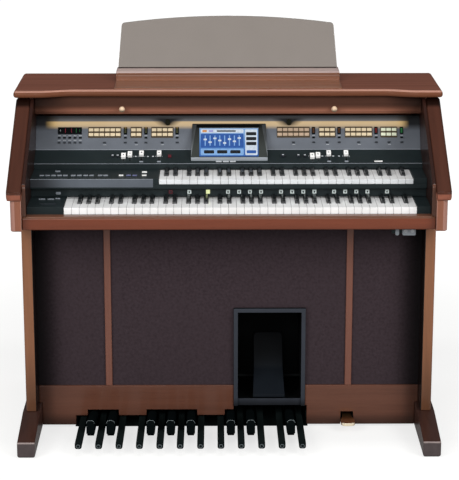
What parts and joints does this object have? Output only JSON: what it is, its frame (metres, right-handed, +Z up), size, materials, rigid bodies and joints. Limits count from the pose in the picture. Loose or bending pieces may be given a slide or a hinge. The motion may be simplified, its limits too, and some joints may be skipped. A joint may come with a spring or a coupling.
{
  "type": "electronic console organ",
  "caption": "Home console organ: polished wooden cabinet with two stepped manuals, control panel with display, clear music rest, pedalboard, expression pedal and damper pedal.",
  "frame": {"origin": "on the floor, below the middle of the overall width and depth", "axes": "+X to the player's right, +Y to the back, +Z up"},
  "size_m": [1.334, 0.737, 1.2467],
  "materials": {
    "wood": "satin lacquered red-brown veneer",
    "brass": "polished",
    "acrylic": "smoked, clear",
    "cloth": "woven grille cloth",
    "black_plastic": "satin moulded",
    "slate_plastic": "satin painted",
    "grey_plastic": "fine grained",
    "steel": "zinc plated",
    "screen": "backlit",
    "white_keys": "polished",
    "black_keys": "satin",
    "lit_buttons": "translucent, lit",
    "white_caps": "satin"
  },
  "bodies": {
    "cabinet": {"left_side_panel": "wood", "right_side_panel": "wood", "left_cheek": "wood", "right_cheek": "wood", "left_arm_cap": "wood", "right_arm_cap": "wood", "left_foot": "wood", "right_foot": "wood", "top_board": "wood", "back_panel": "wood", "cover_rail": "wood", "music_ledge": "wood", "key_slip": "wood", "mullions": "wood", "kick_rail": "wood", "cover_knobs": "brass", "music_rest": "acrylic", "grille_panels": "cloth", "key_bed": "black_plastic", "pedal_frame": "black_plastic", "piston_strip": "black_plastic", "slider_strip": "black_plastic", "upper_end_blocks": "black_plastic", "lower_end_blocks": "black_plastic", "panel_fittings": "black_plastic", "upper_deck": "slate_plastic", "control_panel": "slate_plastic", "expression_box": "grey_plastic", "display_housing": "grey_plastic", "jack_box": "grey_plastic", "damper_bracket": "steel", "display_screen": "screen", "upper_white_keys": "white_keys", "lower_white_keys": "white_keys", "upper_black_keys": "black_keys", "lower_black_keys": "black_keys", "panel_buttons": "lit_buttons", "slider_caps": "white_caps"},
    "expression_pedal": {"expression_pedal": "grey_plastic"},
    "damper_pedal": {"damper_pedal": "brass"},
    "pedal_c2": {"pedal_c2": "black_plastic"},
    "pedal_cs2": {"pedal_cs2": "black_plastic"},
    "pedal_d2": {"pedal_d2": "black_plastic"},
    "pedal_ds2": {"pedal_ds2": "black_plastic"},
    "pedal_e2": {"pedal_e2": "black_plastic"},
    "pedal_f2": {"pedal_f2": "black_plastic"},
    "pedal_fs2": {"pedal_fs2": "black_plastic"},
    "pedal_g2": {"pedal_g2": "black_plastic"},
    "pedal_gs2": {"pedal_gs2": "black_plastic"},
    "pedal_a2": {"pedal_a2": "black_plastic"},
    "pedal_as2": {"pedal_as2": "black_plastic"},
    "pedal_b2": {"pedal_b2": "black_plastic"},
    "pedal_c3": {"pedal_c3": "black_plastic"},
    "pedal_cs3": {"pedal_cs3": "black_plastic"},
    "pedal_d3": {"pedal_d3": "black_plastic"},
    "pedal_ds3": {"pedal_ds3": "black_plastic"},
    "pedal_e3": {"pedal_e3": "black_plastic"},
    "pedal_f3": {"pedal_f3": "black_plastic"},
    "pedal_fs3": {"pedal_fs3": "black_plastic"},
    "pedal_g3": {"pedal_g3": "black_plastic"}
  },
  "joints": [
    {"name": "expression_tilt", "type": "hinge", "parent": "cabinet", "child": "expression_pedal", "pos_m": [0.127, -0.0005, 0.137], "axis": [-1, 0, 0], "range_deg": [0, 16]},
    {"name": "damper_press", "type": "hinge", "parent": "cabinet", "child": "damper_pedal", "pos_m": [0.375, -0.0135, 0.032], "axis": [1, 0, 0], "range_deg": [0, 5], "stiffness_Nm_per_rad": 8, "springref_deg": -14.32},
    {"name": "pedal_c2_press", "type": "hinge", "parent": "cabinet", "child": "pedal_c2", "pos_m": [-0.459, 0.1665, 0.0225], "axis": [1, 0, 0], "range_deg": [0, 1.25], "stiffness_Nm_per_rad": 8, "springref_deg": -40.11},
    {"name": "pedal_cs2_press", "type": "hinge", "parent": "cabinet", "child": "pedal_cs2", "pos_m": [-0.428, 0.1665, 0.0225], "axis": [1, 0, 0], "range_deg": [0, 1.25], "stiffness_Nm_per_rad": 8, "springref_deg": -40.11},
    {"name": "pedal_d2_press", "type": "hinge", "parent": "cabinet", "child": "pedal_d2", "pos_m": [-0.397, 0.1665, 0.0225], "axis": [1, 0, 0], "range_deg": [0, 1.25], "stiffness_Nm_per_rad": 8, "springref_deg": -40.11},
    {"name": "pedal_ds2_press", "type": "hinge", "parent": "cabinet", "child": "pedal_ds2", "pos_m": [-0.366, 0.1665, 0.0225], "axis": [1, 0, 0], "range_deg": [0, 1.25], "stiffness_Nm_per_rad": 8, "springref_deg": -40.11},
    {"name": "pedal_e2_press", "type": "hinge", "parent": "cabinet", "child": "pedal_e2", "pos_m": [-0.335, 0.1665, 0.0225], "axis": [1, 0, 0], "range_deg": [0, 1.25], "stiffness_Nm_per_rad": 8, "springref_deg": -40.11},
    {"name": "pedal_f2_press", "type": "hinge", "parent": "cabinet", "child": "pedal_f2", "pos_m": [-0.273, 0.1665, 0.0225], "axis": [1, 0, 0], "range_deg": [0, 1.25], "stiffness_Nm_per_rad": 8, "springref_deg": -40.11},
    {"name": "pedal_fs2_press", "type": "hinge", "parent": "cabinet", "child": "pedal_fs2", "pos_m": [-0.242, 0.1665, 0.0225], "axis": [1, 0, 0], "range_deg": [0, 1.25], "stiffness_Nm_per_rad": 8, "springref_deg": -40.11},
    {"name": "pedal_g2_press", "type": "hinge", "parent": "cabinet", "child": "pedal_g2", "pos_m": [-0.211, 0.1665, 0.0225], "axis": [1, 0, 0], "range_deg": [0, 1.25], "stiffness_Nm_per_rad": 8, "springref_deg": -40.11},
    {"name": "pedal_gs2_press", "type": "hinge", "parent": "cabinet", "child": "pedal_gs2", "pos_m": [-0.18, 0.1665, 0.0225], "axis": [1, 0, 0], "range_deg": [0, 1.25], "stiffness_Nm_per_rad": 8, "springref_deg": -40.11},
    {"name": "pedal_a2_press", "type": "hinge", "parent": "cabinet", "child": "pedal_a2", "pos_m": [-0.149, 0.1665, 0.0225], "axis": [1, 0, 0], "range_deg": [0, 1.25], "stiffness_Nm_per_rad": 8, "springref_deg": -40.11},
    {"name": "pedal_as2_press", "type": "hinge", "parent": "cabinet", "child": "pedal_as2", "pos_m": [-0.118, 0.1665, 0.0225], "axis": [1, 0, 0], "range_deg": [0, 1.25], "stiffness_Nm_per_rad": 8, "springref_deg": -40.11},
    {"name": "pedal_b2_press", "type": "hinge", "parent": "cabinet", "child": "pedal_b2", "pos_m": [-0.087, 0.1665, 0.0225], "axis": [1, 0, 0], "range_deg": [0, 1.25], "stiffness_Nm_per_rad": 8, "springref_deg": -40.11},
    {"name": "pedal_c3_press", "type": "hinge", "parent": "cabinet", "child": "pedal_c3", "pos_m": [-0.025, 0.1665, 0.0225], "axis": [1, 0, 0], "range_deg": [0, 1.25], "stiffness_Nm_per_rad": 8, "springref_deg": -40.11},
    {"name": "pedal_cs3_press", "type": "hinge", "parent": "cabinet", "child": "pedal_cs3", "pos_m": [0.006, 0.1665, 0.0225], "axis": [1, 0, 0], "range_deg": [0, 1.25], "stiffness_Nm_per_rad": 8, "springref_deg": -40.11},
    {"name": "pedal_d3_press", "type": "hinge", "parent": "cabinet", "child": "pedal_d3", "pos_m": [0.037, 0.1665, 0.0225], "axis": [1, 0, 0], "range_deg": [0, 1.25], "stiffness_Nm_per_rad": 8, "springref_deg": -40.11},
    {"name": "pedal_ds3_press", "type": "hinge", "parent": "cabinet", "child": "pedal_ds3", "pos_m": [0.068, 0.1665, 0.0225], "axis": [1, 0, 0], "range_deg": [0, 1.25], "stiffness_Nm_per_rad": 8, "springref_deg": -40.11},
    {"name": "pedal_e3_press", "type": "hinge", "parent": "cabinet", "child": "pedal_e3", "pos_m": [0.099, 0.1665, 0.0225], "axis": [1, 0, 0], "range_deg": [0, 1.25], "stiffness_Nm_per_rad": 8, "springref_deg": -40.11},
    {"name": "pedal_f3_press", "type": "hinge", "parent": "cabinet", "child": "pedal_f3", "pos_m": [0.161, 0.1665, 0.0225], "axis": [1, 0, 0], "range_deg": [0, 1.25], "stiffness_Nm_per_rad": 8, "springref_deg": -40.11},
    {"name": "pedal_fs3_press", "type": "hinge", "parent": "cabinet", "child": "pedal_fs3", "pos_m": [0.192, 0.1665, 0.0225], "axis": [1, 0, 0], "range_deg": [0, 1.25], "stiffness_Nm_per_rad": 8, "springref_deg": -40.11},
    {"name": "pedal_g3_press", "type": "hinge", "parent": "cabinet", "child": "pedal_g3", "pos_m": [0.223, 0.1665, 0.0225], "axis": [1, 0, 0], "range_deg": [0, 1.25], "stiffness_Nm_per_rad": 8, "springref_deg": -40.11}
  ]
}
